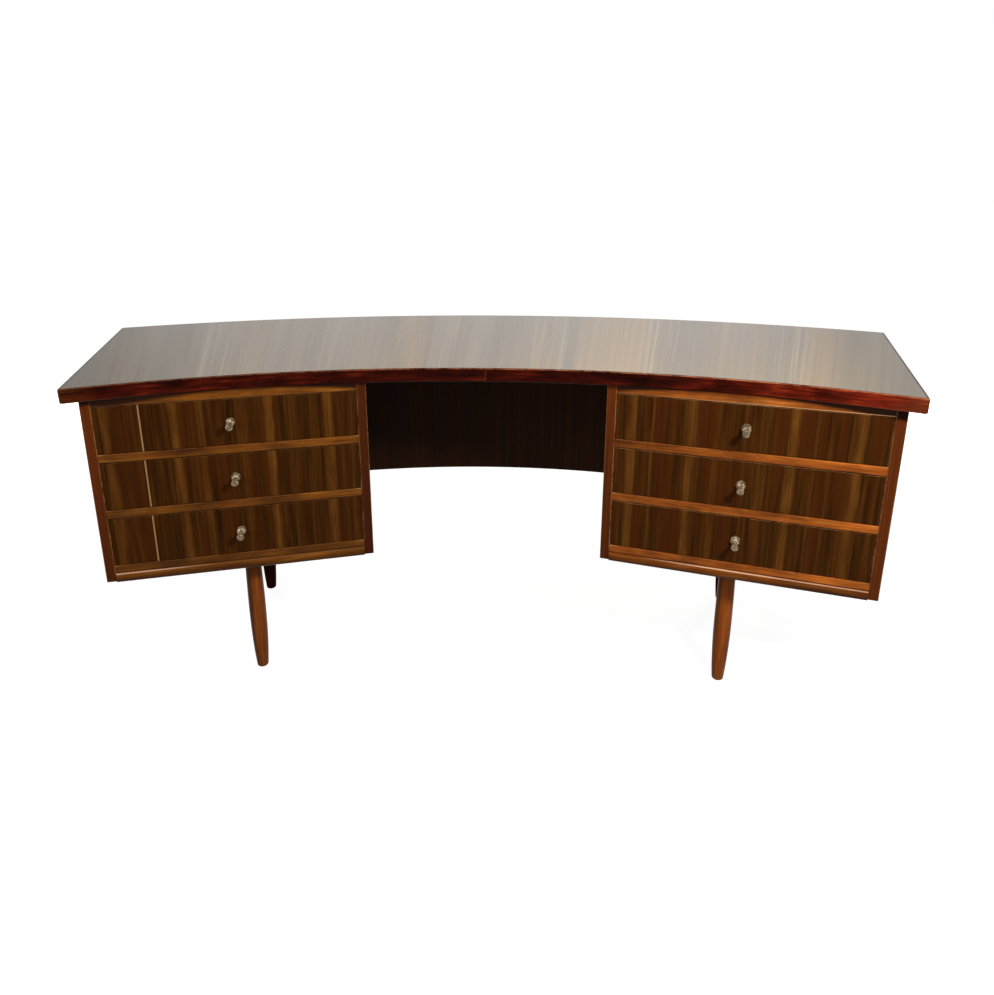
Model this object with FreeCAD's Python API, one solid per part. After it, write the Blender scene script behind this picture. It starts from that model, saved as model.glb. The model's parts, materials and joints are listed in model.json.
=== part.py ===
import FreeCAD, Part
import math
import os

# Crescent executive desk: a curved, lipped top on two three-drawer pedestals that are turned
# in to the sitter, a bent modesty panel between them and four turned legs.
# Millimetres and degrees. +X is the sitter's right, +Y is away from the sitter, +Z is up.
# The origin is on the floor, under the middle of the top's bounding box.

# Top
top_height = 770.0
top_thickness = 30.0
front_radius = 1780.0
top_corner_radius = 6.0
lipping_width = 5.0
lipping_arris = 3.0

# Pedestals
pedestal_turn = 16.2
pedestal_width = 574.0
pedestal_depth = 585.0
knee_half_width = 260.0
front_overhang = 2.0
end_overhang = 25.0
rear_overhang = 60.0
end_turn = 17.0
side_thickness = 21.0
side_arris = 2.5
side_lift = 3.0
bottom_board_thickness = 22.0
nosing_reach = 5.0
nosing_round_share = 0.4
back_panel_thickness = 12.0

# Rails, runners and cleats
top_rail_height = 20.0
rail_height = 19.0
bottom_rail_height = 17.5
rail_depth = 65.0
rail_arris = 2.5
runner_width = 24.0
cleat_width = 24.0
cleat_height = 19.0

# Drawers, from the top one down
drawer_opening_heights = (103.0, 106.5, 109.0)
front_gap = 1.0
front_set_back = 0.8
drawer_front_thickness = 20.0
drawer_front_arris = 1.0
drawer_side_thickness = 11.0
drawer_side_gap = 1.0
drawer_side_drop = 7.0
tail_count = 3
tail_length = 13.0
tail_root_share = 0.44
tail_end_share = 0.64
drawer_back_thickness = 10.0
drawer_back_drop = 8.0
drawer_rear_room = 6.0
drawer_bottom_thickness = 5.0
bottom_groove_depth = 5.5
bottom_groove_lift = 8.0
groove_clearance = 0.3
running_clearance = 0.3

# Knobs: a domed foot, a slim neck and a flared button, held by a nut inside the drawer
knob_reach = 40.0
knob_foot_diameter = 20.0
knob_foot_rim = 2.5
knob_foot_height = 13.5
knob_neck_diameter = 9.0
knob_neck_top_share = 0.62
knob_button_diameter = 14.5
knob_button_rim = 5.0
knob_crown = 2.0
spindle_diameter = 5.0
spindle_clearance = 0.4
nut_width = 10.0
nut_thickness = 4.0
spindle_end = 2.0

# Legs
leg_top_diameter = 36.5
leg_belly_diameter = 39.5
leg_ankle_diameter = 35.5
leg_foot_diameter = 27.0
leg_foot_round = 5.0
leg_belly_share = 0.52
leg_ankle_share = 0.2
leg_tenon_diameter = 22.0
leg_tenon_length = 16.0
tenon_clearance = 0.3
front_leg_inset = 106.0
rear_leg_inset = 97.5
front_leg_shift = 8.0
rear_leg_shift = 18.0

# Modesty panel
panel_radius = 1600.0
panel_rear_room = 60.0
panel_thickness = 18.0
batten_width = 22.0
batten_end_room = 30.0

# Screws that hold the top down, through the cleats
screw_diameter = 4.0
screw_length = 32.0
screw_head_diameter = 8.0
screw_head_height = 2.5
screw_clearance = 0.3
screw_place_shares = (0.15, 0.85)

# One overrun serves all cuts, and one share tells flat edges from the others.
overrun = 20.0
flat_share = 0.001

# Heights, worked down from the underside of the top
top_underside = top_height - top_thickness
openings = []
level = top_underside - top_rail_height
for opening_height in drawer_opening_heights:
    openings.append((level - opening_height, level))
    level -= opening_height + rail_height
bottom_board_top = openings[-1][0] - bottom_rail_height
bottom_board_underside = bottom_board_top - bottom_board_thickness
side_bottom = bottom_board_underside + side_lift
leg_height = bottom_board_underside

# Plan. The front and rear edges are arcs about one centre on the sitter's side. The two end
# edges start just outside the pedestals' front corners and flare a little more than they do.
turn = math.radians(pedestal_turn)
end_angle = math.radians(end_turn)
rear_radius = front_radius + pedestal_depth + rear_overhang
half_width = pedestal_width / 2
inner_half_width = half_width - side_thickness
pedestal_x = knee_half_width + half_width * math.cos(turn)
pedestal_from_centre = math.sqrt((front_radius + front_overhang) ** 2 - pedestal_x**2)
end_x = pedestal_x + (half_width + end_overhang) * math.cos(turn)
end_from_centre = pedestal_from_centre - (half_width + end_overhang) * math.sin(turn)
end_reach = end_x * math.cos(end_angle) - end_from_centre * math.sin(end_angle)


def edge_angle(radius, inset):
    """Angle from the centre line at which an arc meets the end edge moved in by inset."""
    return end_angle + math.asin((end_reach - inset) / radius)


# The lowest point of the rounded front corner and the middle of the rear edge set the origin.
corner_radius_to_centre = front_radius + top_corner_radius
corner_angle = edge_angle(corner_radius_to_centre, top_corner_radius)
nearest = corner_radius_to_centre * math.cos(corner_angle) - top_corner_radius
centre_y = -(nearest + rear_radius) / 2
pedestal_y = centre_y + pedestal_from_centre


def vector(x, y, z):
    return FreeCAD.Vector(x, y, z)


up = vector(0, 0, 1)
origin = vector(0, 0, 0)


def block(x_from, x_to, y_from, y_to, z_from, z_to):
    corner = vector(x_from, y_from, z_from)
    return Part.makeBox(x_to - x_from, y_to - y_from, z_to - z_from, corner)


def prism(edges, z_from, z_to):
    solid = Part.Face(Part.Wire(edges)).extrude(vector(0, 0, z_to - z_from))
    solid.translate(vector(0, 0, z_from))
    return solid


def polygon_edges(points):
    return [Part.makeLine(a, b) for a, b in zip(points, points[1:] + points[:1])]


def mirrored(shape):
    return shape.mirror(origin, vector(1, 0, 0))


def on_arc(radius, angle, arc_centre_y):
    return vector(radius * math.sin(angle), arc_centre_y + radius * math.cos(angle), 0)


def arc_edge(radius, angle_from, angle_to, arc_centre_y):
    middle = (angle_from + angle_to) / 2
    points = [on_arc(radius, angle, arc_centre_y) for angle in (angle_from, middle, angle_to)]
    return Part.Arc(*points).toShape()


def edges_at(solid, test):
    return [edge for edge in solid.Edges if test(edge)]


def is_upright(edge):
    box = edge.BoundBox
    return box.ZLength > max(box.XLength, box.YLength)


def front_edges(solid, y_front, along_x):
    """Edges of a straight piece on its front plane, along X or upright."""

    def on_front(edge):
        box = edge.BoundBox
        flat = abs(box.YMin - y_front) < box.DiagonalLength * flat_share
        flat = flat and box.YLength < box.DiagonalLength * flat_share
        return flat and (box.XLength > box.ZLength) == along_x

    return edges_at(solid, on_front)



# Top: a veneered field framed by solid lippings, mitred at the corners
def top_outline(inset):
    front = front_radius + inset
    rear = rear_radius - inset
    front_angle = edge_angle(front, inset)
    rear_angle = edge_angle(rear, inset)
    front_right = on_arc(front, front_angle, centre_y)
    rear_right = on_arc(rear, rear_angle, centre_y)
    front_left = on_arc(front, -front_angle, centre_y)
    rear_left = on_arc(rear, -rear_angle, centre_y)
    return [
        arc_edge(front, -front_angle, front_angle, centre_y),
        Part.makeLine(front_right, rear_right),
        arc_edge(rear, rear_angle, -rear_angle, centre_y),
        Part.makeLine(rear_left, front_left),
    ]


def top_corners(inset):
    front = front_radius + inset
    rear = rear_radius - inset
    return [
        on_arc(front, edge_angle(front, inset), centre_y),
        on_arc(rear, edge_angle(rear, inset), centre_y),
    ]


def lipping_ring():
    slab = prism(top_outline(0), top_underside, top_height)
    slab = slab.makeFillet(top_corner_radius, edges_at(slab, is_upright))
    level_edges = edges_at(slab, lambda edge: edge.BoundBox.ZLength < edge.Length * flat_share)
    slab = slab.makeFillet(lipping_arris, level_edges)
    field = prism(top_outline(lipping_width), top_underside - overrun, top_height + overrun)
    return slab.cut(field)


def lippings():
    ring = lipping_ring()
    outer_front, outer_rear = top_corners(-overrun)
    inner_front, inner_rear = top_corners(lipping_width)
    mitred_end = polygon_edges([outer_front, inner_front, inner_rear, outer_rear])
    end_space = prism(mitred_end, top_underside - overrun, top_height + overrun)
    right_end = ring.common(end_space)
    bands = ring.cut([end_space, mirrored(end_space)])
    front, rear = sorted(bands.Solids, key=lambda solid: solid.CenterOfMass.y)
    reach = rear_radius
    right_half = block(0, reach, -reach, reach, 0, top_height + overrun)
    front_right = front.common(right_half)
    return {
        "front_lipping_right": front_right,
        "front_lipping_left": mirrored(front_right),
        "rear_lipping": rear,
        "right_lipping": right_end,
        "left_lipping": mirrored(right_end),
    }


# Pedestals, in their own frame: X to the outer side, Y from the front plane to the rear
def to_right(shape):
    placed = shape.copy()
    placed.rotate(origin, up, -pedestal_turn)
    placed.translate(vector(pedestal_x, pedestal_y, 0))
    return placed


def side_panel(x_from):
    panel = block(x_from, x_from + side_thickness, 0, pedestal_depth, side_bottom, top_underside)
    return panel.makeFillet(side_arris, front_edges(panel, 0, along_x=False))


def bottom_board():
    board = block(
        -inner_half_width,
        inner_half_width,
        -nosing_reach,
        pedestal_depth,
        bottom_board_underside,
        bottom_board_top,
    )
    nosing_round = bottom_board_thickness * nosing_round_share
    board = board.makeFillet(nosing_round, front_edges(board, -nosing_reach, along_x=True))
    socket_radius = leg_tenon_diameter / 2 + tenon_clearance
    for x, y in leg_places():
        below = vector(x, y, bottom_board_underside - overrun)
        depth = overrun + leg_tenon_length + tenon_clearance
        board = board.cut(Part.makeCylinder(socket_radius, depth, below))
    return board


def back_panel():
    return block(
        -inner_half_width,
        inner_half_width,
        pedestal_depth - back_panel_thickness,
        pedestal_depth,
        bottom_board_top,
        top_underside,
    )


def rail(z_from, z_to):
    bar = block(-inner_half_width, inner_half_width, 0, rail_depth, z_from, z_to)
    return bar.makeFillet(rail_arris, front_edges(bar, 0, along_x=True))


def rails():
    bars = [rail(bottom - rail_height, bottom) for bottom, _ in openings[:-1]]
    bars.append(rail(bottom_board_top, openings[-1][0]))
    return Part.makeCompound(bars)


def pair_of_strips(width, z_from, z_to):
    """Two strips behind the rails, one along each side panel."""
    rear = pedestal_depth - back_panel_thickness
    inner = inner_half_width - width
    return [
        block(inner, inner_half_width, rail_depth, rear, z_from, z_to),
        block(-inner_half_width, -inner, rail_depth, rear, z_from, z_to),
    ]


def runners():
    strips = []
    for bottom, _ in openings[:-1]:
        strips += pair_of_strips(runner_width, bottom - rail_height, bottom)
    strips += pair_of_strips(runner_width, bottom_board_top, openings[-1][0])
    return Part.makeCompound(strips)


def screw_places():
    x = inner_half_width - cleat_width / 2
    run = pedestal_depth - back_panel_thickness - rail_depth
    ys = [rail_depth + run * share for share in screw_place_shares]
    return [(side * x, y) for side in (-1, 1) for y in ys]


def screw_base():
    return top_underside - cleat_height


def top_cleats():
    strips = pair_of_strips(cleat_width, screw_base(), top_underside)
    bore = screw_diameter / 2 + screw_clearance
    for x, y in screw_places():
        below = vector(x, y, screw_base() - overrun)
        hole = Part.makeCylinder(bore, cleat_height + overrun * 2, below)
        strips = [strip.cut(hole) for strip in strips]
    return Part.makeCompound(strips)


def top_screws():
    screws = []
    for x, y in screw_places():
        seat = vector(x, y, screw_base())
        shank = Part.makeCylinder(screw_diameter / 2, screw_length, seat)
        head_seat = vector(x, y, screw_base() - screw_head_height)
        head = Part.makeCylinder(screw_head_diameter / 2, screw_head_height, head_seat)
        screws.append(shank.fuse(head).removeSplitter())
    return screws


def top_panel():
    panel = prism(top_outline(lipping_width), top_underside, top_height)
    bore = screw_diameter / 2 + screw_clearance
    depth = screw_length - cleat_height + screw_clearance
    for x, y in screw_places():
        below = vector(x, y, top_underside - overrun)
        hole = to_right(Part.makeCylinder(bore, overrun + depth, below))
        panel = panel.cut([hole, mirrored(hole)])
    return panel


# Legs: turned, swelling a little below the top and tapering to a rounded foot
def leg_places():
    front = (-front_leg_shift, front_leg_inset)
    rear = (-rear_leg_shift, pedestal_depth - rear_leg_inset)
    return [front, rear]


def leg(x, y):
    foot = leg_foot_diameter / 2
    tenon = leg_tenon_diameter / 2
    tenon_top = leg_height + leg_tenon_length
    foot_flat = vector(foot - leg_foot_round, 0, 0)
    diagonal = leg_foot_round * math.sqrt(0.5)
    foot_bend = vector(foot - leg_foot_round + diagonal, 0, leg_foot_round - diagonal)
    foot_side = vector(foot, 0, leg_foot_round)
    ankle = vector(leg_ankle_diameter / 2, 0, leg_height * leg_ankle_share)
    belly = vector(leg_belly_diameter / 2, 0, leg_height * leg_belly_share)
    shoulder = vector(leg_top_diameter / 2, 0, leg_height)
    swell = Part.BSplineCurve()
    swell.interpolate([foot_side, ankle, belly, shoulder])
    outline = [
        Part.makeLine(origin, foot_flat),
        Part.Arc(foot_flat, foot_bend, foot_side).toShape(),
        swell.toShape(),
        Part.makeLine(shoulder, vector(tenon, 0, leg_height)),
        Part.makeLine(vector(tenon, 0, leg_height), vector(tenon, 0, tenon_top)),
        Part.makeLine(vector(tenon, 0, tenon_top), vector(0, 0, tenon_top)),
        Part.makeLine(vector(0, 0, tenon_top), origin),
    ]
    turned = Part.Face(Part.Wire(outline)).revolve(origin, up, 360)
    turned.translate(vector(x, y, 0))
    return turned


# Drawers, in the pedestal's frame
box_half_width = inner_half_width - drawer_side_gap
box_front = front_set_back + drawer_front_thickness
box_rear = pedestal_depth - back_panel_thickness - drawer_rear_room


def box_bottom(opening):
    return opening[0] + running_clearance


def groove_bottom(opening):
    return box_bottom(opening) + bottom_groove_lift


def bottom_groove(opening):
    """Space for the drawer's bottom in its front and sides."""
    reach = box_half_width - drawer_side_thickness + bottom_groove_depth
    lower = groove_bottom(opening)
    upper = lower + drawer_bottom_thickness + groove_clearance
    front = box_front - bottom_groove_depth
    return block(-reach, reach, front, pedestal_depth, lower, upper)


def knob_height(opening):
    return (opening[0] + opening[1]) / 2


def side_span(opening):
    return box_bottom(opening), opening[1] - drawer_side_drop


def dovetails(opening):
    """Tails of the outer drawer side, stopped short of the show face of the drawer front."""
    lower, upper = side_span(opening)
    pitch = (upper - lower) / tail_count
    inner = box_half_width - drawer_side_thickness
    tails = []
    for number in range(tail_count):
        middle = lower + pitch * number + pitch / 2
        root = pitch * tail_root_share / 2
        end = pitch * tail_end_share / 2
        outline = [
            vector(inner, box_front, middle - root),
            vector(inner, box_front, middle + root),
            vector(inner, box_front - tail_length, middle + end),
            vector(inner, box_front - tail_length, middle - end),
        ]
        face = Part.Face(Part.Wire(polygon_edges(outline)))
        tails.append(face.extrude(vector(drawer_side_thickness, 0, 0)))
    return tails


def drawer_front(opening):
    half = inner_half_width - front_gap
    bottom = opening[0] + front_gap
    board = block(-half, half, front_set_back, box_front, bottom, opening[1] - front_gap)
    shown = front_edges(board, front_set_back, along_x=True)
    shown += front_edges(board, front_set_back, along_x=False)
    board = board.makeFillet(drawer_front_arris, shown)
    bore = spindle_diameter / 2 + spindle_clearance
    ahead = vector(0, front_set_back - overrun, knob_height(opening))
    length = drawer_front_thickness + overrun * 2
    hole = Part.makeCylinder(bore, length, ahead, vector(0, 1, 0))
    tails = dovetails(opening)
    tails += [mirrored(tail) for tail in tails]
    return board.cut([hole, bottom_groove(opening)] + tails)


def drawer_sides(opening):
    lower, upper = side_span(opening)
    inner = box_half_width - drawer_side_thickness
    outer_side = block(inner, box_half_width, box_front, box_rear, lower, upper)
    outer_side = outer_side.fuse(dovetails(opening)).removeSplitter()
    outer_side = outer_side.cut(bottom_groove(opening))
    return Part.makeCompound([outer_side, mirrored(outer_side)])


def drawer_back(opening):
    inner = box_half_width - drawer_side_thickness
    lower = groove_bottom(opening) + drawer_bottom_thickness
    upper = side_span(opening)[1] - drawer_back_drop
    return block(-inner, inner, box_rear - drawer_back_thickness, box_rear, lower, upper)


def drawer_bottom(opening):
    reach = box_half_width - drawer_side_thickness + bottom_groove_depth - groove_clearance
    lower = groove_bottom(opening)
    front = box_front - bottom_groove_depth + groove_clearance
    return block(-reach, reach, front, box_rear, lower, lower + drawer_bottom_thickness)


def knob(opening):
    """Turned about its spindle, which runs along +Z here until it is laid along the drawer."""
    foot = knob_foot_diameter / 2
    neck = knob_neck_diameter / 2
    button = knob_button_diameter / 2
    spindle = spindle_diameter / 2
    neck_top = vector(neck, 0, knob_reach * knob_neck_top_share)
    button_top = knob_reach - knob_crown
    button_low = button_top - knob_button_rim
    spindle_low = -(drawer_front_thickness + nut_thickness + spindle_end)
    rim = vector(foot, 0, knob_foot_rim)
    neck_low = vector(neck, 0, knob_foot_height)
    dome = Part.BezierCurve()
    dome.setPoles([rim, vector(foot, 0, (knob_foot_rim + knob_foot_height * 2) / 3), neck_low])
    button_rim_low = vector(button, 0, button_low)
    button_rim_top = vector(button, 0, button_top)
    flare = Part.BezierCurve()
    flare.setPoles([neck_top, vector(neck, 0, (neck_top.z + button_low) / 2), button_rim_low])
    crown_radius = (button**2 + knob_crown**2) / knob_crown / 2
    half_angle = math.asin(button / crown_radius) / 2
    crown_middle_height = knob_reach - crown_radius * (1 - math.cos(half_angle))
    crown_middle = vector(crown_radius * math.sin(half_angle), 0, crown_middle_height)
    crown = vector(0, 0, knob_reach)
    outline = [
        Part.makeLine(vector(0, 0, spindle_low), vector(spindle, 0, spindle_low)),
        Part.makeLine(vector(spindle, 0, spindle_low), vector(spindle, 0, 0)),
        Part.makeLine(vector(spindle, 0, 0), vector(foot, 0, 0)),
        Part.makeLine(vector(foot, 0, 0), rim),
        dome.toShape(),
        Part.makeLine(neck_low, neck_top),
        flare.toShape(),
        Part.makeLine(button_rim_low, button_rim_top),
        Part.Arc(button_rim_top, crown_middle, crown).toShape(),
        Part.makeLine(crown, vector(0, 0, spindle_low)),
    ]
    turned = Part.Face(Part.Wire(outline)).revolve(origin, up, 360)
    sides = 6
    corner = nut_width / 2 / math.cos(math.pi / sides)
    steps = [2 * math.pi * step / sides for step in range(sides)]
    nut_points = [vector(corner * math.cos(a), corner * math.sin(a), 0) for a in steps]
    nut_low = -drawer_front_thickness - nut_thickness
    nut = prism(polygon_edges(nut_points), nut_low, -drawer_front_thickness)
    nut = nut.cut(Part.makeCylinder(spindle, drawer_front_thickness * 2, vector(0, 0, spindle_low)))
    pair = Part.makeCompound([turned, nut])
    pair.rotate(origin, vector(1, 0, 0), 90)
    pair.translate(vector(0, front_set_back, knob_height(opening)))
    return pair


# Modesty panel: bent to an arc that meets the pedestals' inner sides a little before their rear
def on_inner_side(from_front):
    """Plan point on the right pedestal's inner face, that far behind its front plane."""
    sine, cosine = math.sin(turn), math.cos(turn)
    x = pedestal_x - half_width * cosine + from_front * sine
    y = pedestal_y + half_width * sine + from_front * cosine
    return vector(x, y, 0)


panel_meets = pedestal_depth - panel_rear_room
panel_end = on_inner_side(panel_meets)
panel_centre_y = panel_end.y - math.sqrt(panel_radius**2 - panel_end.x**2)


def knee_space():
    """Plan of the space between the two pedestals, drawn on past the bulge of the panel."""
    right_front = on_inner_side(-overrun)
    right_rear = on_inner_side(panel_meets + panel_radius)
    left_front = vector(-right_front.x, right_front.y, 0)
    left_rear = vector(-right_rear.x, right_rear.y, 0)
    return polygon_edges([right_front, right_rear, left_rear, left_front])


def modesty_panel():
    axis_foot = vector(0, panel_centre_y, side_bottom)
    height = top_underside - side_bottom
    tube = Part.makeCylinder(panel_radius + panel_thickness, height, axis_foot)
    tube = tube.cut(Part.makeCylinder(panel_radius, height, axis_foot))
    return tube.common(prism(knee_space(), side_bottom, top_underside))


def panel_battens():
    face = -half_width
    lower = side_bottom + batten_end_room
    upper = top_underside - batten_end_room
    strip = to_right(block(face - batten_width, face, panel_meets, pedestal_depth, lower, upper))
    axis_foot = vector(0, panel_centre_y, 0)
    behind_panel = panel_radius + panel_thickness
    strip = strip.cut(Part.makeCylinder(behind_panel, top_height, axis_foot))
    return Part.makeCompound([strip, mirrored(strip)])


nodes = {"top_panel": top_panel()}
nodes.update(lippings())
nodes["modesty_panel"] = modesty_panel()
nodes["panel_battens"] = panel_battens()

front_leg_place, rear_leg_place = leg_places()
right_pedestal = {
    "inner_side": side_panel(-half_width),
    "outer_side": side_panel(inner_half_width),
    "bottom_board": bottom_board(),
    "back_panel": back_panel(),
    "top_rail": rail(openings[0][1], top_underside),
    "rails": rails(),
    "runners": runners(),
    "top_cleats": top_cleats(),
    "front_leg": leg(*front_leg_place),
    "rear_leg": leg(*rear_leg_place),
}
for number, opening in enumerate(openings, start=1):
    right_pedestal[f"drawer_{number}_front"] = drawer_front(opening)
    right_pedestal[f"drawer_{number}_sides"] = drawer_sides(opening)
    right_pedestal[f"drawer_{number}_back"] = drawer_back(opening)
    right_pedestal[f"drawer_{number}_bottom"] = drawer_bottom(opening)
    right_pedestal[f"drawer_{number}_knob"] = knob(opening)

for name, shape in right_pedestal.items():
    nodes[f"right_{name}"] = to_right(shape)
    nodes[f"left_{name}"] = mirrored(to_right(shape))

right_screws = [to_right(screw) for screw in top_screws()]
nodes["top_screws"] = Part.makeCompound(right_screws + [mirrored(screw) for screw in right_screws])

os.makedirs("parts", exist_ok=True)
for name, shape in nodes.items():
    shape.exportStep(f"parts/{name}.step")

print(len(nodes), "nodes,", sum(len(shape.Solids) for shape in nodes.values()), "solids")
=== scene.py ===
import json
import math

import bpy
from mathutils import Matrix, Vector


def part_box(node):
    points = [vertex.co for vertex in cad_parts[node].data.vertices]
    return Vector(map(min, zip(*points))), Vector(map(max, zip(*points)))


# Crescent executive desk: materials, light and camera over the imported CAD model.
# Metres and radians, in the frame of the CAD. +X is the sitter's right, +Y is away
# from the sitter. The CAD nodes keep their shapes, and no piece is added to them.
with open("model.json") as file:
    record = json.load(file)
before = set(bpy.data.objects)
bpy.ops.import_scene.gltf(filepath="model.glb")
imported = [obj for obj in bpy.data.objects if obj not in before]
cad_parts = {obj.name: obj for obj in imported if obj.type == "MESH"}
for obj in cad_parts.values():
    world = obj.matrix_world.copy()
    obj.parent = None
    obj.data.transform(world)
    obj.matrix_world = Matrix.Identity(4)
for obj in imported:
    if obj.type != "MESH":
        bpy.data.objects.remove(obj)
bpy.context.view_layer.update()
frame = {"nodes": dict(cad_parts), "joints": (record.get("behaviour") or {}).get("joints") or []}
nodes = frame["nodes"]

# Plan of the top: its front and rear edges are arcs about one centre on the sitter's side.
front_radius = 1.780
top_depth = 0.645
rear_radius = front_radius + top_depth
rear_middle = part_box("rear_lipping")[1].y
arc_centre = Vector((0, rear_middle - rear_radius, 0))
mean_radius = (front_radius + rear_radius) / 2
end_turn = math.radians(17.0)

# Width of the top along the arc, at the mean radius, with a little to spare at the ends
top_span = 2.10

# Plan of the pedestals: the right one, from its first drawer's slide and front. The left
# one is its mirror image.
slide = next(joint for joint in frame["joints"] if joint["child"] == "right_drawer_1")
pedestal_turn = math.atan2(-slide["axis"][0], -slide["axis"][1])
front_low, front_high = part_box("right_drawer_1_front")
drawer_front_thickness = 0.020
front_set_back = 0.0008
to_rear = Vector((math.sin(pedestal_turn), math.cos(pedestal_turn), 0))
front_middle = (front_low + front_high) / 2
pedestal_front = front_middle - to_rear * (drawer_front_thickness / 2 + front_set_back)
pedestal_front.z = 0
drawer_front_width = 0.530
rail_half_length = 0.266

sides = {"left": -1, "right": 1}
drawer_numbers = (1, 2, 3)

# A Mix node's sockets for colours
mix_first, mix_second, mix_result = 6, 7, 2


def tone(red, green, blue):
    """A colour from its 0 to 255 screen values."""
    shares = [channel / 255 for channel in (red, green, blue)]
    linear = [s / 12.92 if s <= 0.04045 else ((s + 0.055) / 1.055) ** 2.4 for s in shares]
    return (*linear, 1)


class Look:
    """A node material, built up by plain calls. Inputs are sockets or constants."""

    def __init__(self, name, **constants):
        self.material = bpy.data.materials.new(name)
        self.material.use_nodes = True
        self.tree = self.material.node_tree
        self.tree.nodes.clear()
        output = self.tree.nodes.new("ShaderNodeOutputMaterial")
        self.shader = self.tree.nodes.new("ShaderNodeBsdfPrincipled")
        self.tree.links.new(self.shader.outputs["BSDF"], output.inputs["Surface"])
        for socket, value in constants.items():
            self.shader.inputs[socket.replace("_", " ")].default_value = value
        coordinates = self.tree.nodes.new("ShaderNodeTexCoord")
        self.place = coordinates.outputs["Object"]
        self.normal = coordinates.outputs["Normal"]

    def put(self, socket, value):
        if isinstance(value, bpy.types.NodeSocket):
            self.tree.links.new(value, socket)
        else:
            socket.default_value = value

    def node(self, kind, inputs, **settings):
        made = self.tree.nodes.new(kind)
        for name, value in settings.items():
            setattr(made, name, value)
        for key, value in inputs.items():
            self.put(made.inputs[key], value)
        return made

    def maths(self, operation, *values, clamp=False):
        made = self.node(
            "ShaderNodeMath", dict(enumerate(values)), operation=operation, use_clamp=clamp
        )
        return made.outputs[0]

    def vectors(self, operation, *values):
        made = self.node("ShaderNodeVectorMath", dict(enumerate(values)), operation=operation)
        return made.outputs[0]

    def parts(self, vector):
        return self.node("ShaderNodeSeparateXYZ", {0: vector}).outputs

    def joined(self, x, y, z):
        return self.node("ShaderNodeCombineXYZ", {0: x, 1: y, 2: z}).outputs[0]

    def turned(self, vector, angle):
        made = self.node(
            "ShaderNodeVectorRotate", {"Vector": vector, "Angle": angle}, rotation_type="Z_AXIS"
        )
        return made.outputs[0]

    def noise(self, place, detail=2.0, roughness=0.5, distortion=0.0):
        inputs = {
            "Vector": place,
            "Scale": 1.0,
            "Detail": detail,
            "Roughness": roughness,
            "Distortion": distortion,
        }
        return self.node("ShaderNodeTexNoise", inputs).outputs["Fac"]

    def remap(self, value, low, high, to_low=0.0, to_high=1.0, smooth=False):
        inputs = {
            "Value": value,
            "From Min": low,
            "From Max": high,
            "To Min": to_low,
            "To Max": to_high,
        }
        shape = "SMOOTHSTEP" if smooth else "LINEAR"
        return self.node("ShaderNodeMapRange", inputs, interpolation_type=shape).outputs[0]

    def ramp(self, value, stops):
        made = self.node("ShaderNodeValToRGB", {"Fac": value})
        elements = made.color_ramp.elements
        while len(elements) < len(stops):
            elements.new(1.0)
        for element, (position, colour) in zip(elements, stops):
            element.position = position
            element.color = colour
        return made.outputs["Color"]

    def mix(self, share, first, second):
        inputs = {0: share, mix_first: first, mix_second: second}
        return self.node("ShaderNodeMix", inputs, data_type="RGBA").outputs[mix_result]

    def scaled(self, colour, level):
        """The colour times a level, which is one number."""
        return self.vectors("MULTIPLY", colour, self.joined(level, level, level))

    def finish(self, colour, roughness, height, depth):
        self.put(self.shader.inputs["Base Color"], colour)
        self.put(self.shader.inputs["Roughness"], roughness)
        inputs = {"Height": height, "Strength": 1.0, "Distance": depth}
        bump = self.node("ShaderNodeBump", inputs)
        self.put(self.shader.inputs["Normal"], bump.outputs["Normal"])
        return self.material


# Spaces: coordinates and normals that follow the piece
def pedestal_space(look, vector, side, is_place=True):
    """X to the sitter's right along the pedestal's front, Y to its rear, Z up."""
    if is_place:
        middle = (side * pedestal_front.x, pedestal_front.y, 0)
        vector = look.vectors("SUBTRACT", vector, middle)
    return look.turned(vector, side * pedestal_turn)


def arc_space(look, vector):
    """X along the arc, Y away from the arcs' centre, Z up."""
    x, y, z = look.parts(look.vectors("SUBTRACT", vector, arc_centre))
    squares = look.maths("ADD", look.maths("MULTIPLY", x, x), look.maths("MULTIPLY", y, y))
    radius = look.maths("SQRT", squares)
    along = look.maths("MULTIPLY", look.maths("ARCTAN2", x, y), mean_radius)
    return look.joined(along, radius, z)


def arc_normal(look):
    """Normal in the arc's own directions: along it, away from its centre, up."""
    x, y, _ = look.parts(look.vectors("SUBTRACT", look.place, arc_centre))
    angle = look.maths("ARCTAN2", x, y)
    return look.turned(look.normal, angle)


def stretched(look, place, spacing, along, stretch, seed=0.0):
    """Noise coordinates: a unit is spacing across the grain, and stretch times that along it."""
    scales = [1 / spacing] * 3
    scales[along] /= stretch
    shifted = look.vectors("ADD", place, (seed, seed * 0.7, seed * 1.3))
    return look.vectors("MULTIPLY", shifted, scales)


def arris_mask(look, normal):
    """1 where the surface turns over a rounded arris."""
    sizes = look.parts(look.vectors("ABSOLUTE", normal))
    largest = look.maths("MAXIMUM", look.maths("MAXIMUM", sizes[0], sizes[1]), sizes[2])
    return look.remap(largest, 0.985, 0.80)


def fine_noise(look, per_metre, detail, roughness=0.5):
    """Noise that is alike in all directions."""
    place = look.vectors("MULTIPLY", look.place, (per_metre, per_metre, per_metre))
    return look.noise(place, detail=detail, roughness=roughness)


def edge_wear(look, normal, amount):
    """Rubbed arrises, broken up along the edge, and none on those that face down."""
    patches = fine_noise(look, 45, detail=4.0, roughness=0.65)
    broken = look.maths("MULTIPLY", arris_mask(look, normal), look.remap(patches, 0.34, 0.58))
    facing_up = look.remap(look.parts(normal)[2], -0.25, 0.05)
    return look.maths("MULTIPLY", look.maths("MULTIPLY", broken, facing_up), amount)


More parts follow.
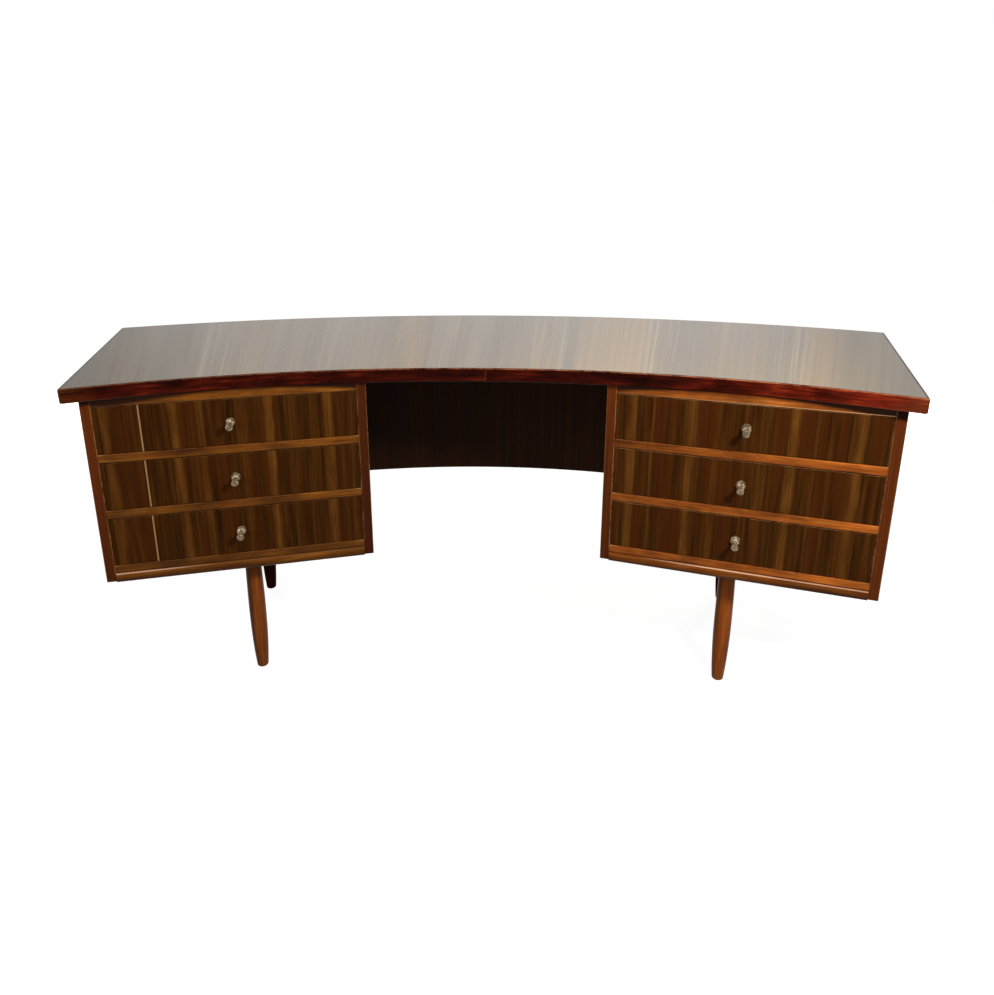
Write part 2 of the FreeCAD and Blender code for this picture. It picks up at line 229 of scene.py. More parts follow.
def facing_down(look, normal, amount):
    """The amount on arrises and faces that turn down, and none elsewhere."""
    downward = look.remap(look.parts(normal)[2], -0.05, -0.45)
    return look.maths("MULTIPLY", downward, amount)


# Grain: spacing of the bands and of the streaks, and how far both stretch along the wood
top_grain = (0.045, 0.010, 120.0)
lipping_grain = (0.011, 0.0030, 12.0)
rail_grain = (0.016, 0.0035, 12.0)
side_grain = (0.022, 0.004, 40.0)
drawer_grain = (0.009, 0.0036, 34.0)
inner_grain = (0.018, 0.0030, 25.0)
panel_grain = (0.026, 0.0045, 60.0)
leg_grain = (0.016, 0.0050, 24.0)

# Streaks run further than bands do. Pores are alike in every wood here.
streak_run = 1.6
pore_spacing = 0.0009
pore_stretch = 18.0


class Grain:
    """The layers of figure that every wood here shares. along is the axis it runs along."""

    def __init__(self, look, place, along, seed, band, streak, stretch):
        self.bands = look.noise(
            stretched(look, place, band, along, stretch, seed), detail=3.0, distortion=0.6
        )
        self.streaks = look.noise(
            stretched(look, place, streak, along, stretch * streak_run, seed + 3.1),
            detail=4.0,
            roughness=0.6,
        )
        self.pores = look.noise(
            stretched(look, place, pore_spacing, along, pore_stretch, seed + 5.7),
            detail=2.0,
            roughness=0.7,
        )

    def figure(self, look, band_share):
        bands = look.maths("MULTIPLY", self.bands, band_share)
        streaks = look.maths("MULTIPLY", self.streaks, 1 - band_share)
        return look.remap(look.maths("ADD", bands, streaks), 0.32, 0.68)

    def height(self, look):
        return self.pores_and(look, self.streaks)

    def gloss(self, look, smooth, rough):
        return look.remap(self.pores_and(look, self.bands), 0.3, 0.7, smooth, rough)

    def pores_and(self, look, layer):
        half_pores = look.maths("MULTIPLY", self.pores, 0.5)
        return look.maths("ADD", half_pores, look.maths("MULTIPLY", layer, 0.5))


# Painted shade: the tone of faces and arrises that turn down
underside_shade_tone = tone(30, 11, 3)
plain_relief = 0.0002
plain_band_share = 0.55


def even_stops(shades):
    """Ramp stops that are evenly spaced."""
    steps = len(shades) - 1
    return [(number / steps, shade) for number, shade in enumerate(shades)]


def plain_colour(look, grain, shades, level=None):
    """Ramp-coloured wood with darker pores, scaled by a level where one is given."""
    colour = look.ramp(grain.figure(look, plain_band_share), even_stops(shades))
    pores = look.remap(grain.pores, 0.40, 0.30, 0.0, 0.45)
    colour = look.mix(pores, colour, shades[0])
    if level is None:
        return colour
    return look.scaled(colour, level)


# Top: pale striped veneer under a polish, grain from front to rear, one old scratch
top_tones = {
    "ground": tone(150, 132, 107),
    "warm": tone(190, 158, 120),
    "pale": tone(226, 196, 160),
    "dark": tone(112, 96, 72),
    "pores": tone(84, 64, 44),
    # painted shade towards the top's ends
    "ends": tone(88, 80, 70),
    "scratch": tone(90, 76, 60),
}
top_relief = 0.00005

# Warm leaves and clusters of pale streaks, each by its place along the arc in metres from
# the middle, its width and its strength
warm_leaves = (
    (-0.195, 0.15, 0.35),
    (0.14, 0.06, 0.5),
    (0.315, 0.26, 1.0),
    (0.62, 0.16, 0.3),
    (0.80, 0.12, 0.3),
)
pale_clusters = (
    (-0.685, 0.11, 0.8),
    (-0.415, 0.06, 0.5),
    (-0.110, 0.12, 0.7),
    (0.150, 0.10, 0.9),
    (0.420, 0.14, 1.0),
    (0.720, 0.13, 0.9),
)
scratch_place = (0.666, front_radius + 0.158)
scratch_size = (0.050, 0.004)

# How strongly the polish reflects, by place along the arc: a painted reflection, most right of
# the middle, and little at the ends
polish_and_painted_reflection_levels = (
    (-0.85, 0.05),
    (-0.63, 0.15),
    (-0.42, 0.21),
    (-0.20, 0.18),
    (0.00, 0.31),
    (0.21, 0.38),
    (0.42, 0.36),
    (0.63, 0.25),
    (0.80, 0.09),
)

# Share of a stripe's width over which it fades, at each side
stripe_edge_share = 0.3


def stripe_stops(stripes, width):
    """Ramp stops over a width: up to each stripe's strength and down again."""
    stops = []
    for place, stripe_width, strength in stripes:
        middle = place / width + 0.5
        half = stripe_width / width / 2
        core = half * (1 - stripe_edge_share * 2)
        level = (strength, strength, strength, 1)
        stops.append((middle - half, (0, 0, 0, 1)))
        stops.append((middle - core, level))
        stops.append((middle + core, level))
        stops.append((middle + half, (0, 0, 0, 1)))
    return stops


def scratch_mask(look, x, y):
    along = look.maths("ABSOLUTE", look.maths("SUBTRACT", x, scratch_place[0]))
    across = look.maths("ABSOLUTE", look.maths("SUBTRACT", y, scratch_place[1]))
    in_length = look.remap(along, scratch_size[0] / 2, scratch_size[0] / 3)
    in_width = look.remap(across, scratch_size[1] / 2, scratch_size[1] / 4)
    return look.maths("MULTIPLY", in_length, in_width)


def top_look():
    look = Look("top_veneer")
    place = arc_space(look, look.place)
    x, y, _ = look.parts(place)
    grain = Grain(look, place, 1, 0.4, *top_grain)
    drift = look.noise(stretched(look, place, 0.06, 1, 40.0, 2.6), detail=3.0)
    strayed = look.maths("ADD", x, look.remap(drift, 0.3, 0.7, -0.03, 0.03))
    share = look.maths("ADD", look.maths("DIVIDE", strayed, top_span), 0.5)
    warm = look.ramp(share, stripe_stops(warm_leaves, top_span))
    warm = look.maths("ADD", warm, look.remap(drift, 0.40, 0.65, -0.15, 0.35), clamp=True)
    colour = look.mix(warm, top_tones["ground"], top_tones["warm"])
    clusters = look.ramp(share, stripe_stops(pale_clusters, top_span))
    spells = look.maths("ADD", look.maths("MULTIPLY", clusters, 0.42), 0.08)
    pale = look.maths("MULTIPLY", look.remap(grain.streaks, 0.50, 0.66), spells)
    colour = look.mix(pale, colour, top_tones["pale"])
    dark = look.remap(grain.streaks, 0.47, 0.30, 0.0, 0.28)
    colour = look.mix(dark, colour, top_tones["dark"])
    pores = look.remap(grain.pores, 0.42, 0.30, 0.0, 0.18)
    colour = look.mix(pores, colour, top_tones["pores"])
    # Painted shade: the top darkens towards both ends
    left_end_shade = look.remap(x, -0.55, -1.05, 0.0, 0.65, smooth=True)
    right_end_shade = look.remap(x, 0.70, 1.05, 0.0, 0.6, smooth=True)
    colour = look.mix(look.maths("ADD", left_end_shade, right_end_shade), colour, top_tones["ends"])
    scratch = look.maths("MULTIPLY", scratch_mask(look, x, y), 0.30)
    colour = look.mix(scratch, colour, top_tones["scratch"])
    # Polish with a painted reflection that varies along the arc
    polish = look.ramp(
        share, [(at / top_span + 0.5, (level, level, level, 1)) for at, level in polish_and_painted_reflection_levels]
    )
    look.put(look.shader.inputs["Specular IOR Level"], polish)
    return look.finish(colour, grain.gloss(look, 0.18, 0.30), grain.bands, top_relief)


# Lippings: dark red mahogany, worn along the upper arris and most at the right. They are also
# lighter all over towards the right end, and the front ones darker near the middle. The front
# ones are bare brown wood near the outer corners, over the metres from the middle given here.
lipping_shades = (tone(22, 3, 1), tone(46, 8, 3), tone(68, 15, 5), tone(116, 38, 14))
lipping_worn_tone = tone(186, 112, 70)
lipping_end_tone = tone(80, 64, 54)
lipping_arris_tones = {"left": tone(94, 56, 34), "right": tone(132, 72, 46)}
lipping_bare_tones = {"left": tone(88, 48, 16), "right": tone(124, 62, 32)}
bare_reach = (0.76, 0.82)
bare_arris_reach = (0.58, 0.76)

# The joint between the front lippings shows as a pale line, of these half widths
joint_half_widths = (0.0012, 0.0005)


def lipping_look(name, seed, end_side=0, front_side=None):
    """end_side is -1 or 1 for an end lipping, front_side names the half of a front one."""
    look = Look(name, Specular_IOR_Level=0.03)
    if end_side:
        place = look.turned(look.place, end_side * end_turn)
        normal = look.turned(look.normal, end_side * end_turn)
        along = 1
    else:
        place = arc_space(look, look.place)
        normal = arc_normal(look)
        along = 0
    x = look.parts(look.place)[0]
    upward = look.parts(normal)[2]
    if front_side:
        from_middle = look.maths("ABSOLUTE", x)
        darkened = look.remap(from_middle, 0.10, 0.40, 0.62, 1.0)
        level_along = look.maths("MULTIPLY", darkened, look.remap(x, 0.38, 0.72, 1.0, 2.6))
    else:
        level_along = look.remap(x, 0.45, 1.0, 1.0, 1.9)
    mottle = look.noise(stretched(look, place, 0.03, along, 2.5, seed + 2.3), detail=3.0)
    level = look.maths("MULTIPLY", look.remap(mottle, 0.35, 0.65, 0.5, 1.4), level_along)
    grain = Grain(look, place, along, seed, *lipping_grain)
    colour = plain_colour(look, grain, lipping_shades, level)
    if end_side:
        colour = look.mix(look.remap(upward, 0.2, 0.6, 0.0, 0.8), colour, lipping_end_tone)
    else:
        amount = look.remap(x, -0.6, 0.5, 0.4, 1.0)
        amount = look.maths("MULTIPLY", amount, look.remap(upward, 0.05, 0.30))
        colour = look.mix(edge_wear(look, normal, amount), colour, lipping_worn_tone)
    if front_side:
        from_joint = look.maths("ABSOLUTE", look.parts(place)[0])
        joint = look.remap(from_joint, *joint_half_widths, 0.0, 0.14)
        colour = look.mix(joint, colour, lipping_worn_tone)
        near_end = look.remap(from_middle, *bare_reach, 0.0, 0.65)
        bare = look.maths("MULTIPLY", near_end, look.remap(grain.streaks, 0.36, 0.60))
        colour = look.mix(bare, colour, lipping_bare_tones[front_side])
        outward = look.remap(from_middle, *bare_arris_reach)
        lower_tone = look.mix(outward, underside_shade_tone, lipping_arris_tones[front_side])
    else:
        lower_tone = underside_shade_tone
    # Painted shade on faces that turn down; on the front lippings it gives way to a worn tone
    # towards the outer corners
    colour = look.mix(facing_down(look, normal, 0.65), colour, lower_tone)
    return look.finish(colour, grain.gloss(look, 0.25, 0.45), grain.height(look), plain_relief)


# Frame wood of the pedestals: orange-brown mahogany. The left rails' shades are darker than
# the right rails' as painted shade.
worn_tone = tone(190, 128, 78)
# Tone of painted highlights
painted_glint_tone = tone(232, 182, 148)
rail_shades = {
    "left": (tone(62, 30, 6), tone(92, 49, 11), tone(112, 64, 17), tone(140, 87, 30)),
    "right": (tone(88, 40, 9), tone(124, 62, 17), tone(150, 81, 27), tone(184, 114, 52)),
}
stile_shades = (tone(52, 20, 4), tone(74, 32, 8), tone(86, 39, 11), tone(112, 56, 19))

# Levels of tone at the lowest and highest rail's height. They stand in for the light of the
# room in the photograph, which leaves the left pedestal darker towards the floor.
rail_heights = (0.355, 0.700)
rail_levels = {"left": (0.66, 1.32), "right": (1.16, 1.04)}
stile_levels = {
    "left_outer": (0.80, 1.56),
    "left_inner": (0.60, 0.79),
    "right_inner": (1.00, 1.40),
    "right_outer": (1.26, 1.14),
}

# Levels at a rail's left and right ends, which are painted light, and the tone of a painted
# highlight on a top rail's lower arris with its shares at the two places along the rail
rail_rises = {"left": (1.05, 0.95), "right": (0.66, 1.36)}
arris_places = (-0.20, 0.15)
top_rail_arris_highlights = {
    "left": (tone(120, 80, 46), 0.6, 0.6),
    "right": (tone(255, 196, 140), 0.15, 0.95),
}

# Nosings: level of tone, and share of the painted highlight line at the two places along the
# nosing
nosing_levels = {"left": 0.95, "right": 0.58}
glint_places = (-0.20, -0.05)
nosing_glints = {"left": (0.90, 0.08), "right": (0.0, 1.0)}

# Painted shadow of the top's overhang, which reaches lowest where the top hangs over most.
# On the outer stiles it reaches less far, by these set-backs.
top_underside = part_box("right_top_rail")[1].z
# Tone of the painted shadow under the top
overhang_shadow_tone = tone(30, 7, 1)
stile_set_backs = {"left_outer": 0.014, "right_outer": 0.006}


def dimmed(shades, level):
    """The shades times a level."""
    return [(*(channel * level for channel in shade[:3]), 1) for shade in shades]


def overhang_painted_shadow(look, set_back=0.0):
    """Share of painted shadow, from how far the top's front edge stands out above the place."""
    _, radius, z = look.parts(arc_space(look, look.place))
    overhang = look.maths("SUBTRACT", radius, front_radius + set_back)
    below_top = look.maths("SUBTRACT", top_underside, z)
    return look.remap(look.maths("SUBTRACT", overhang, below_top), -0.004, 0.003, 0.0, 0.95)


def rail_look(name, side_name, seed, under_top=False):
    """Rubbed along the arrises, and most of all where the rails meet the stiles."""
    side = sides[side_name]
    look = Look(name, Specular_IOR_Level=0.07)
    place = pedestal_space(look, look.place, side)
    normal = pedestal_space(look, look.normal, side, is_place=False)
    x, _, z = look.parts(place)
    mottle = look.noise(stretched(look, place, 0.045, 0, 2.0, seed + 2.9), detail=3.0)
    # Painted light: levels by the rail's height and along the rail
    height_light = look.remap(z, *rail_heights, *rail_levels[side_name])
    rise = look.remap(x, -rail_half_length, rail_half_length, *rail_rises[side_name])
    level = look.maths("MULTIPLY", look.remap(mottle, 0.34, 0.66, 0.62, 1.46), height_light)
    level = look.maths("MULTIPLY", level, rise)
    grain = Grain(look, place, 0, seed, *rail_grain)
    colour = plain_colour(look, grain, rail_shades[side_name], level)
    from_middle = look.maths("ABSOLUTE", x)
    amount = look.remap(
        from_middle, rail_half_length - 0.020, rail_half_length - 0.004, 0.18, 0.9
    )
    colour = look.mix(edge_wear(look, normal, amount), colour, worn_tone)
    if under_top:
        # Painted shadow of the top's overhang on the top rail
        colour = look.mix(overhang_painted_shadow(look), colour, overhang_shadow_tone)
        # Painted highlight on the top rail's lower arris
        arris_highlight_tone, *arris_shares = top_rail_arris_highlights[side_name]
        amount = look.remap(x, *arris_places, *arris_shares)
        colour = look.mix(facing_down(look, normal, amount), colour, arris_highlight_tone)
    else:
        # Painted shade on the rail's lower arris
        colour = look.mix(facing_down(look, normal, 0.8), colour, underside_shade_tone)
    return look.finish(colour, grain.gloss(look, 0.28, 0.48), grain.height(look), plain_relief)


def nosing_look(name, side_name, seed):
    """The bottom board: a painted highlight runs along the upper round of its nosing."""
    side = sides[side_name]
    shades = dimmed(rail_shades[side_name], nosing_levels[side_name])
    look = Look(name, Specular_IOR_Level=0.06)
    place = pedestal_space(look, look.place, side)
    normal = pedestal_space(look, look.normal, side, is_place=False)
    upward = look.parts(normal)[2]
    above, below = look.remap(upward, 0.94, 0.86), look.remap(upward, 0.66, 0.78)
    line = look.maths("MULTIPLY", below, above)
    patches = look.noise(stretched(look, place, 0.05, 0, 3.0, seed), detail=3.0)
    glint = look.remap(look.parts(place)[0], *glint_places, *nosing_glints[side_name])
    glint = look.maths("MULTIPLY", glint, look.remap(patches, 0.35, 0.60, 0.6, 1.0))
    line = look.maths("MULTIPLY", line, glint)
    grain = Grain(look, place, 0, seed, *rail_grain)
    colour = plain_colour(look, grain, shades, look.remap(patches, 0.35, 0.65, 0.8, 1.25))
    # Painted highlight along the upper round of the nosing
    colour = look.mix(line, colour, painted_glint_tone)
    # Painted shade on the nosing's underside
    colour = look.mix(look.remap(upward, 0.45, -0.5, 0.0, 0.85), colour, underside_shade_tone)
    return look.finish(colour, grain.gloss(look, 0.28, 0.48), grain.height(look), plain_relief)


# Side and back panels: a solid front edge, dark veneer behind it
side_veneer = (tone(40, 19, 5), tone(58, 31, 9), tone(94, 56, 20))
solid_edge_end = (0.0090, 0.0098)


def side_look(name, side, seed, edge_levels=(1.0, 1.0), set_back=None):
    look = Look(name, Specular_IOR_Level=0.04)
    place = pedestal_space(look, look.place, side)
    normal = pedestal_space(look, look.normal, side, is_place=False)
    grain = Grain(look, place, 2, seed, *side_grain)
    figure = grain.figure(look, plain_band_share)
    _, y, z = look.parts(place)
    edge = look.ramp(figure, even_stops(stile_shades))
    # Painted light and shade on the solid edge, by height
    edge = look.scaled(edge, look.remap(z, *rail_heights, *edge_levels))
    if set_back is not None:
        # Painted shadow of the top's overhang on the stile's top
        edge = look.mix(overhang_painted_shadow(look, set_back), edge, overhang_shadow_tone)
    veneer = look.ramp(figure, even_stops(side_veneer))
    colour = look.mix(look.remap(y, *solid_edge_end), edge, veneer)
    colour = look.mix(edge_wear(look, normal, 0.8), colour, worn_tone)
    return look.finish(colour, grain.gloss(look, 0.28, 0.46), grain.height(look), plain_relief)


# Drawer fronts: striped veneer, matched down the three drawers, on pale solid wood. Amber
# stripes are given by their place in metres from the middle of the front, their width and
# their strength.
drawer_ground = ((0.0, tone(31, 13, 2)), (0.45, tone(56, 29, 6)), (1.0, tone(82, 47, 14)))
drawer_tones = {
    "red": tone(66, 29, 6),
    "amber": tone(116, 71, 26),
    "pale line": tone(176, 132, 88),
    "solid": tone(150, 112, 72),
    "worn": tone(156, 112, 72),
}
drawer_relief = 0.00015
veneer_end = (0.0030, 0.0034)
amber_stripes = {
    "left": (
        (-0.245, 0.022, 0.85),
        (-0.112, 0.024, 0.90),
        (-0.060, 0.020, 0.55),
        (0.024, 0.016, 0.40),
        (0.079, 0.022, 1.00),
        (0.122, 0.006, 0.45),
        (0.203, 0.022, 0.95),
        (0.252, 0.010, 0.35),
    ),
    "right": (
        (-0.230, 0.025, 0.95),
        (-0.187, 0.008, 0.55),
        (-0.107, 0.024, 0.90),
        (-0.055, 0.016, 0.35),
        (0.037, 0.020, 0.50),
        (0.092, 0.024, 0.95),
        (0.135, 0.006, 0.40),
        (0.212, 0.024, 0.80),
    ),
}
stripe_wander = 0.009
red_shares = {"left": 0.6, "right": 0.95}
# Edge wear on the drawer fronts, raised on the right as a painted highlight on the arrises
drawer_wear_and_highlight = {"left": 0.35, "right": 0.9}

# One pale line runs down the three left drawers
pale_line_place = -0.1775
pale_line_width = 0.0030


def drawer_look(name, side_name, seed):
    side = sides[side_name]
    look = Look(name, Specular_IOR_Level=0.02)
    place = pedestal_space(look, look.place, side)
    normal = pedestal_space(look, look.normal, side, is_place=False)
    grain = Grain(look, place, 2, seed, *drawer_grain)
    x, y, z = look.parts(place)
    ground = look.ramp(grain.figure(look, 0.6), drawer_ground)
    reddish = look.noise(stretched(look, place, 0.026, 2, 14.0, seed + 4.4), detail=3.0)
    red = look.remap(reddish, 0.48, 0.66, 0.0, red_shares[side_name])
    ground = look.mix(red, ground, drawer_tones["red"])
    waver = look.noise(stretched(look, place, 0.016, 2, 4.0, seed + 8.2), detail=3.0)
    wander = look.maths("MULTIPLY", look.maths("SUBTRACT", waver, 0.5), stripe_wander)
    across = look.maths("ADD", x, wander)
    share = look.maths("ADD", look.maths("DIVIDE", across, drawer_front_width), 0.5)
    amber = look.ramp(share, stripe_stops(amber_stripes[side_name], drawer_front_width))
    fading = look.noise(stretched(look, place, 0.025, 2, 4.0, seed + 1.7), detail=2.0)
    amber = look.maths("MULTIPLY", amber, look.remap(fading, 0.36, 0.62, 0.40, 0.85))
    amber = look.maths("MULTIPLY", amber, look.remap(grain.streaks, 0.35, 0.6, 0.45, 1.0))
    amber = look.maths("MULTIPLY", amber, look.remap(z, *rail_heights, 0.8, 1.0))
    colour = look.mix(amber, ground, drawer_tones["amber"])
    if side_name == "left":
        off_line = look.maths("ABSOLUTE", look.maths("SUBTRACT", x, pale_line_place))
        line = look.remap(off_line, pale_line_width * 0.6, pale_line_width * 0.4, 0.0, 0.8)
        colour = look.mix(line, colour, drawer_tones["pale line"])
    colour = look.mix(look.remap(y, *veneer_end), colour, drawer_tones["solid"])
    # Edge wear, and a painted highlight on the right drawers' arrises
    wear = edge_wear(look, normal, drawer_wear_and_highlight[side_name])
    colour = look.mix(wear, colour, drawer_tones["worn"])
    return look.finish(colour, grain.gloss(look, 0.30, 0.50), grain.height(look), drawer_relief)


# Plain inner woods, and the dark veneer of the modesty panel, darkened further as painted shade
pale_shades = (tone(132, 92, 54), tone(160, 118, 76), tone(176, 136, 92), tone(190, 152, 108))
box_shades = (tone(150, 110, 68), tone(176, 138, 94), tone(190, 154, 110), tone(204, 172, 130))
panel_shaded_tones = (tone(22, 10, 3), tone(32, 15, 4), tone(42, 21, 6), tone(56, 30, 10))


def inner_look(name, side, along, seed, shades):
    look = Look(name, Specular_IOR_Level=0.05)
    place = pedestal_space(look, look.place, side)
    grain = Grain(look, place, along, seed, *inner_grain)
    colour = plain_colour(look, grain, shades)
    return look.finish(colour, grain.gloss(look, 0.45, 0.65), grain.height(look), plain_relief)


def panel_look():
    look = Look("panel_veneer", Specular_IOR_Level=0.04)
    grain = Grain(look, look.place, 2, 2.2, *panel_grain)
    # Dark veneer with painted shade
    colour = plain_colour(look, grain, panel_shaded_tones)
    return look.finish(colour, grain.gloss(look, 0.35, 0.55), grain.height(look), plain_relief)


# Legs: turned wood. The front ones have painted light on the side that faces the room, in the
# direction given here, and painted shade near the pedestal; their levels by side are painted
# light too. The rear ones have painted shade on their front.
leg_shades = (tone(66, 29, 8), tone(94, 45, 12), tone(112, 57, 18), tone(146, 83, 34))
leg_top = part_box("right_bottom_board")[0].z
leg_light_directions = {"left": (0.64, -0.77), "right": (0.05, -1.00)}
leg_levels = {"left": 1.45, "right": 2.20}


def leg_look(name, side_name, seed, is_front):
    look = Look(name, Specular_IOR_Level=0.04 if is_front else 0.0)
    grain = Grain(look, look.place, 2, seed, *leg_grain)
    x, y, _ = look.parts(look.normal)
    if is_front:
        # Painted light towards the room and painted shade near the pedestal
        light_x, light_y = leg_light_directions[side_name]
        lit_share = look.maths("MULTIPLY_ADD", y, light_y, look.maths("MULTIPLY", x, light_x))
        level = look.remap(lit_share, 0.45, 0.95, 0.35, 1.0)
        below = look.maths("SUBTRACT", leg_top, look.parts(look.place)[2])
        level = look.maths("MULTIPLY", level, look.remap(below, 0.03, 0.09, 0.6, 1.0))
        level = look.maths("MULTIPLY", level, leg_levels[side_name])
    else:
        # Painted shade on the rear legs' front
        level = look.remap(y, -0.2, 0.6, 0.30, 1.0)
    colour = plain_colour(look, grain, leg_shades, level)
    return look.finish(colour, grain.gloss(look, 0.22, 0.40), grain.height(look), plain_relief)


# Metal: knobs of aged plated brass, with a painted highlight round the foot and painted shade on
# the face
knob_lit_foot_tones = (tone(108, 88, 64), tone(164, 140, 108), tone(230, 208, 172))
knob_shaded_face_tones = (tone(84, 68, 50), tone(114, 94, 70), tone(136, 114, 86))
steel_tones = (tone(120, 118, 114), tone(160, 158, 152), tone(190, 188, 182))
metal_relief = 0.00004


def blotched(look, tones):
    """A metal's colour and roughness, which vary together."""
    blotches = fine_noise(look, 190, detail=2.0)
    colour = look.ramp(blotches, [(0.38, tones[0]), (0.5, tones[1]), (0.64, tones[2])])
    return colour, look.remap(blotches, 0.35, 0.65, 0.30, 0.48)


def knob_look(name, side):
    look = Look(name, Metallic=0.45)
    foot, roughness = blotched(look, knob_lit_foot_tones)
    face, _ = blotched(look, knob_shaded_face_tones)
    normal = pedestal_space(look, look.normal, side, is_place=False)
    # Painted highlight on the foot, painted shade on the face
    colour = look.mix(look.remap(look.parts(normal)[1], -0.80, -0.95), foot, face)
    return look.finish(colour, roughness, fine_noise(look, 900, detail=3.0), metal_relief)


def screw_look():
    look = Look("screw_steel", Metallic=1.0)
    colour, roughness = blotched(look, steel_tones)
    return look.finish(colour, roughness, fine_noise(look, 900, detail=3.0), metal_relief)


# Dressing: each node gets its material. The seeds keep like pieces from having the same figure.
def assign(name, material):
    materials = nodes[name].data.materials
    materials.clear()
    materials.append(material)


def dress_top():
    assign("top_panel", top_look())
    assign("front_lipping_left", lipping_look("front_lipping_left", 0.3, front_side="left"))
    assign("front_lipping_right", lipping_look("front_lipping_right", 1.9, front_side="right"))
    assign("rear_lipping", lipping_look("rear_lipping", 3.3))
    assign("left_lipping", lipping_look("left_lipping", 4.1, end_side=-1))
    assign("right_lipping", lipping_look("right_lipping", 5.2, end_side=1))


def dress_pedestal(side_name):
    side = sides[side_name]
    seed = 1.0 + side

    def named(part):
        return f"{side_name}_{part}"

    for part, part_seed in (("outer", 0.2), ("inner", 0.9)):
        panel = named(f"{part}_side")
        stile = named(part)
        levels, set_back = stile_levels[stile], stile_set_backs.get(stile)
        assign(panel, side_look(panel, side, seed + part_seed, levels, set_back))
    assign(named("top_rail"), rail_look(named("top_rail"), side_name, seed + 0.4, under_top=True))
    assign(named("rails"), rail_look(named("rails"), side_name, seed + 0.6))
    assign(named("bottom_board"), nosing_look(named("bottom_board"), side_name, seed + 0.8))
    assign(named("back_panel"), side_look(named("back_panel"), side, seed + 1.1))
    inner = inner_look(named("inner_wood"), side, 1, seed + 1.3, pale_shades)
    assign(named("runners"), inner)
    assign(named("top_cleats"), inner)
    for part, is_front in (("front_leg", True), ("rear_leg", False)):
        assign(named(part), leg_look(named(part), side_name, seed + 0.5, is_front))
    veneer = drawer_look(named("drawer_veneer"), side_name, seed + 0.3)
    box_sides = inner_look(named("drawer_sides"), side, 1, seed + 2.1, box_shades)
    box_cross = inner_look(named("drawer_backs"), side, 0, seed + 2.4, box_shades)
    for number in drawer_numbers:
        drawer = named(f"drawer_{number}")
        assign(f"{drawer}_front", veneer)
        assign(f"{drawer}_sides", box_sides)
        assign(f"{drawer}_back", box_cross)
        assign(f"{drawer}_bottom", box_cross)


def dress_metal():
    for side_name, side in sides.items():
        knob = knob_look(f"{side_name}_knob_brass", side)
        for number in drawer_numbers:
            assign(f"{side_name}_drawer_{number}_knob", knob)
    assign("top_screws", screw_look())


def dress_panel():
    assign("modesty_panel", panel_look())
    assign("panel_battens", inner_look("panel_battens", 1, 2, 6.0, stile_shades))


# Stage: white surroundings for the camera and for reflections, and a floor that keeps the shadow
floor_half_width = 30.0
floor_grey = 0.45
floor_camera_glow = 0.885
ambient_level = 0.26


def seen_rays(tree):
    """1 for rays from the camera, off gloss or through glass, and 0 for light on surfaces."""
    path = tree.nodes.new("ShaderNodeLightPath")
    seen = path.outputs["Is Camera Ray"]
    for name in ("Is Glossy Ray", "Is Transmission Ray"):
        either = tree.nodes.new("ShaderNodeMath")
        either.operation = "MAXIMUM"
        tree.links.new(seen, either.inputs[0])
        tree.links.new(path.outputs[name], either.inputs[1])
        seen = either.outputs[0]
    return seen


def make_world():
    world = bpy.data.worlds.new("studio")
    bpy.context.scene.world = world
    world.use_nodes = True
    tree = world.node_tree
    background = tree.nodes["Background"]
    background.inputs["Color"].default_value = (1, 1, 1, 1)
    level = tree.nodes.new("ShaderNodeMapRange")
    level.inputs["To Min"].default_value = ambient_level
    level.inputs["To Max"].default_value = 1.0
    tree.links.new(seen_rays(tree), level.inputs["Value"])
    tree.links.new(level.outputs[0], background.inputs["Strength"])


def floor_material():
    material = bpy.data.materials.new("floor")
    material.use_nodes = True
    tree = material.node_tree
    tree.nodes.clear()
    output = tree.nodes.new("ShaderNodeOutputMaterial")
    matt = tree.nodes.new("ShaderNodeBsdfDiffuse")
    matt.inputs["Color"].default_value = (floor_grey, floor_grey, floor_grey, 1)
    glow = tree.nodes.new("ShaderNodeEmission")
    both = tree.nodes.new("ShaderNodeAddShader")
    level = tree.nodes.new("ShaderNodeMapRange")
    level.inputs["To Max"].default_value = floor_camera_glow
    tree.links.new(seen_rays(tree), level.inputs["Value"])
    tree.links.new(level.outputs[0], glow.inputs["Strength"])
    tree.links.new(matt.outputs[0], both.inputs[0])
    tree.links.new(glow.outputs[0], both.inputs[1])
    tree.links.new(both.outputs[0], output.inputs["Surface"])
    return material


def make_floor():
    h = floor_half_width
    mesh = bpy.data.meshes.new("floor")
    mesh.from_pydata([(-h, -h, 0), (h, -h, 0), (h, h, 0), (-h, h, 0)], [], [(0, 1, 2, 3)])
    mesh.materials.append(floor_material())
    floor = bpy.data.objects.new("floor", mesh)
    bpy.context.scene.collection.objects.link(floor)


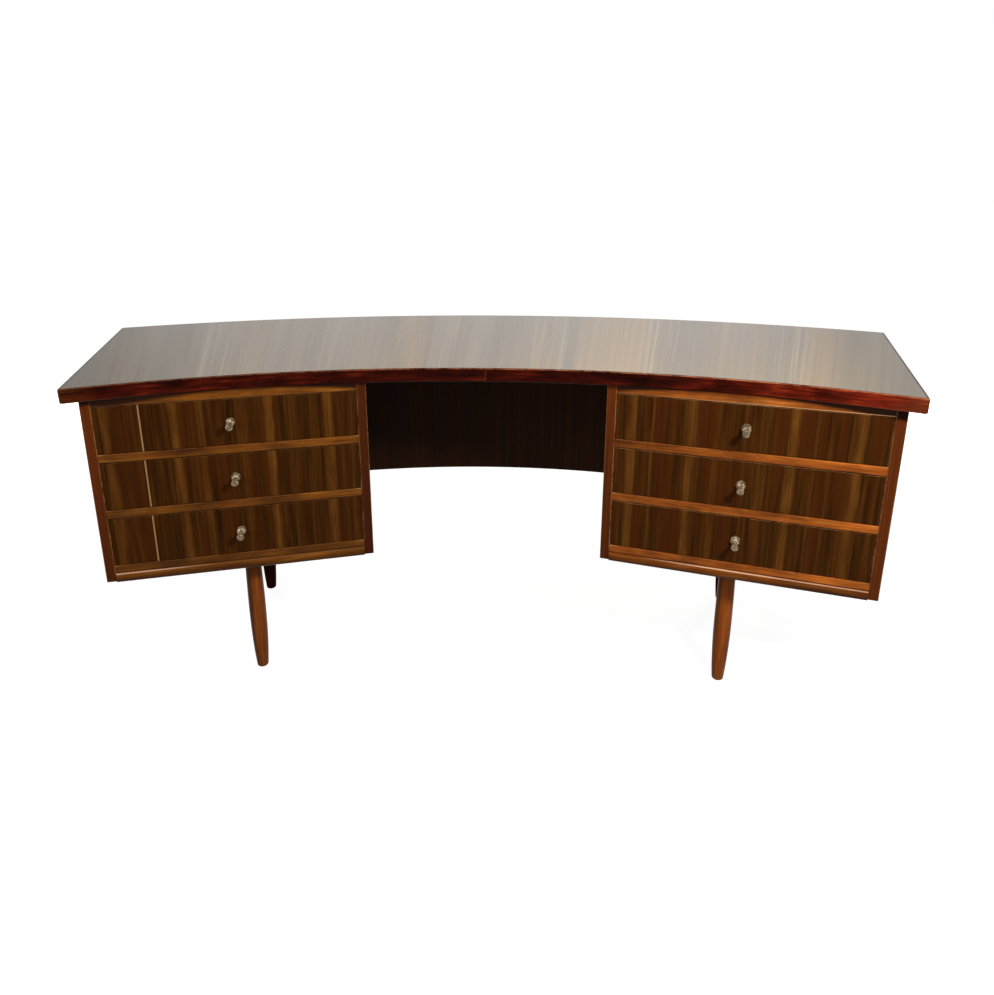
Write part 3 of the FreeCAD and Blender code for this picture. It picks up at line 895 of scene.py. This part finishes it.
# Lamps: name, place, target, diameter and power. Gloss doesn't show them.
front_target = (0, -0.1, 0.5)
rear_target = (0, 0.1, 0.38)
lamps = (
    ("key", (0.85, -1.50, 1.60), front_target, 0.22, 26.0),
    ("fill", (-1.50, -2.30, 1.40), front_target, 1.20, 16.0),
    ("rear_left", (-2.2, 2.4, 0.38), rear_target, 0.70, 24.0),
    ("rear_right", (2.2, 2.4, 0.38), rear_target, 0.70, 24.0),
)


def add_area_light(name, place, target, size, power):
    data = bpy.data.lights.new(name, "AREA")
    data.shape = "DISK"
    data.size = size
    data.energy = power
    lamp = bpy.data.objects.new(name, data)
    lamp.location = place
    aim = Vector(target) - Vector(place)
    lamp.rotation_euler = aim.to_track_quat("-Z", "Y").to_euler()
    lamp.visible_glossy = False
    bpy.context.scene.collection.objects.link(lamp)


# Camera: where the photograph was taken from, as solved from its edges. Sensor and lens are
# in millimetres, and the shifts are shares of the sensor's width.
camera_place = Vector((0.075559, -1.805634, 1.165878))
camera_pitch = math.radians(16.68985)
camera_yaw = math.radians(-3.17964)
camera_roll = math.radians(-0.26047)
camera_sensor = 36.0
camera_lens = 27.667
camera_shift = (0.017272, -0.094025)


def make_camera():
    flat = math.cos(camera_pitch)
    forward = Vector(
        (math.sin(camera_yaw) * flat, math.cos(camera_yaw) * flat, -math.sin(camera_pitch))
    )
    level_right = Vector((math.cos(camera_yaw), -math.sin(camera_yaw), 0))
    level_up = level_right.cross(forward)
    right = level_right * math.cos(camera_roll) + level_up * math.sin(camera_roll)
    up = level_up * math.cos(camera_roll) - level_right * math.sin(camera_roll)
    data = bpy.data.cameras.new("camera")
    data.sensor_fit = "HORIZONTAL"
    data.sensor_width = camera_sensor
    data.lens = camera_lens
    data.shift_x, data.shift_y = camera_shift
    camera = bpy.data.objects.new("camera", data)
    turn = Matrix((right, up, -forward)).transposed().to_4x4()
    camera.matrix_world = Matrix.Translation(camera_place) @ turn
    bpy.context.scene.collection.objects.link(camera)
    bpy.context.scene.camera = camera


dress_top()
for side_name in sides:
    dress_pedestal(side_name)
dress_panel()
dress_metal()
make_world()
make_floor()
for lamp in lamps:
    add_area_light(*lamp)
make_camera()
bpy.context.scene.view_settings.view_transform = "Standard"
